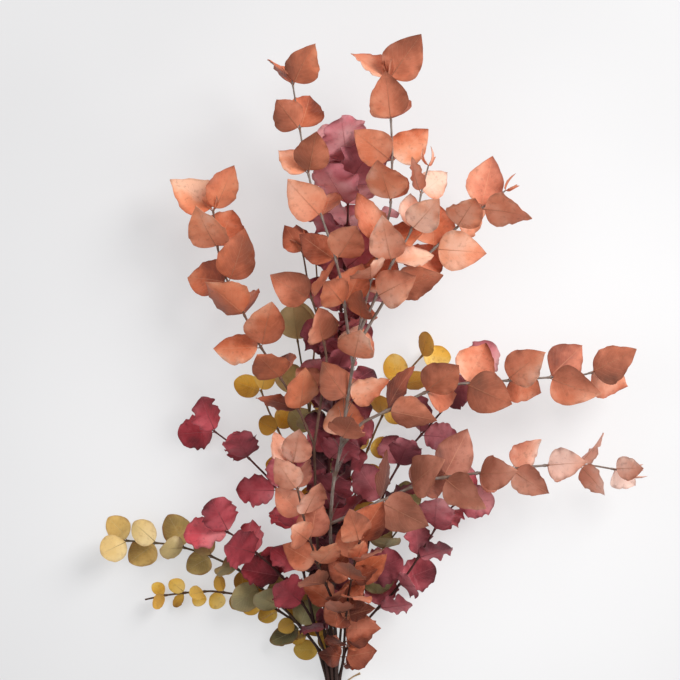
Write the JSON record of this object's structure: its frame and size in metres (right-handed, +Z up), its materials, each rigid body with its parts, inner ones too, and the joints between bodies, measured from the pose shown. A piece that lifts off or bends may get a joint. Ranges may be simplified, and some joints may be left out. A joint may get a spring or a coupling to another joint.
{
  "type": "preserved eucalyptus foliage bunch",
  "caption": "Tied bunch of dyed, preserved eucalyptus branches with apricot, burgundy, yellow and olive leaves, lying on a surface.",
  "frame": {"origin": "middle of the bunch's box on the surface that it lies on", "axes": "+Y from the cut stem ends towards the leaf tips, +X to the right seen from above, +Z up"},
  "size_m": [0.5493, 0.687, 0.1496],
  "materials": {
    "apricot_leaf": "matte dyed preserved leaf, terracotta to peach",
    "burgundy_leaf": "matte dyed preserved leaf, plum to crimson",
    "yellow_leaf": "matte dyed preserved leaf, mustard yellow",
    "olive_leaf": "matte preserved leaf, olive to khaki",
    "bark": "dry grey-brown twig bark",
    "twine": "rough natural twine"
  },
  "bodies": {
    "root": {"apricot_tall": "apricot_leaf", "apricot_left": "apricot_leaf", "apricot_low": "apricot_leaf", "burgundy_tall": "burgundy_leaf", "burgundy_left": "burgundy_leaf", "burgundy_right": "burgundy_leaf", "yellow_right": "yellow_leaf", "yellow_left": "yellow_leaf", "yellow_low": "yellow_leaf", "olive_low": "olive_leaf", "olive_upper": "olive_leaf", "twine_tie": "twine"}
  },
  "joints": []
}
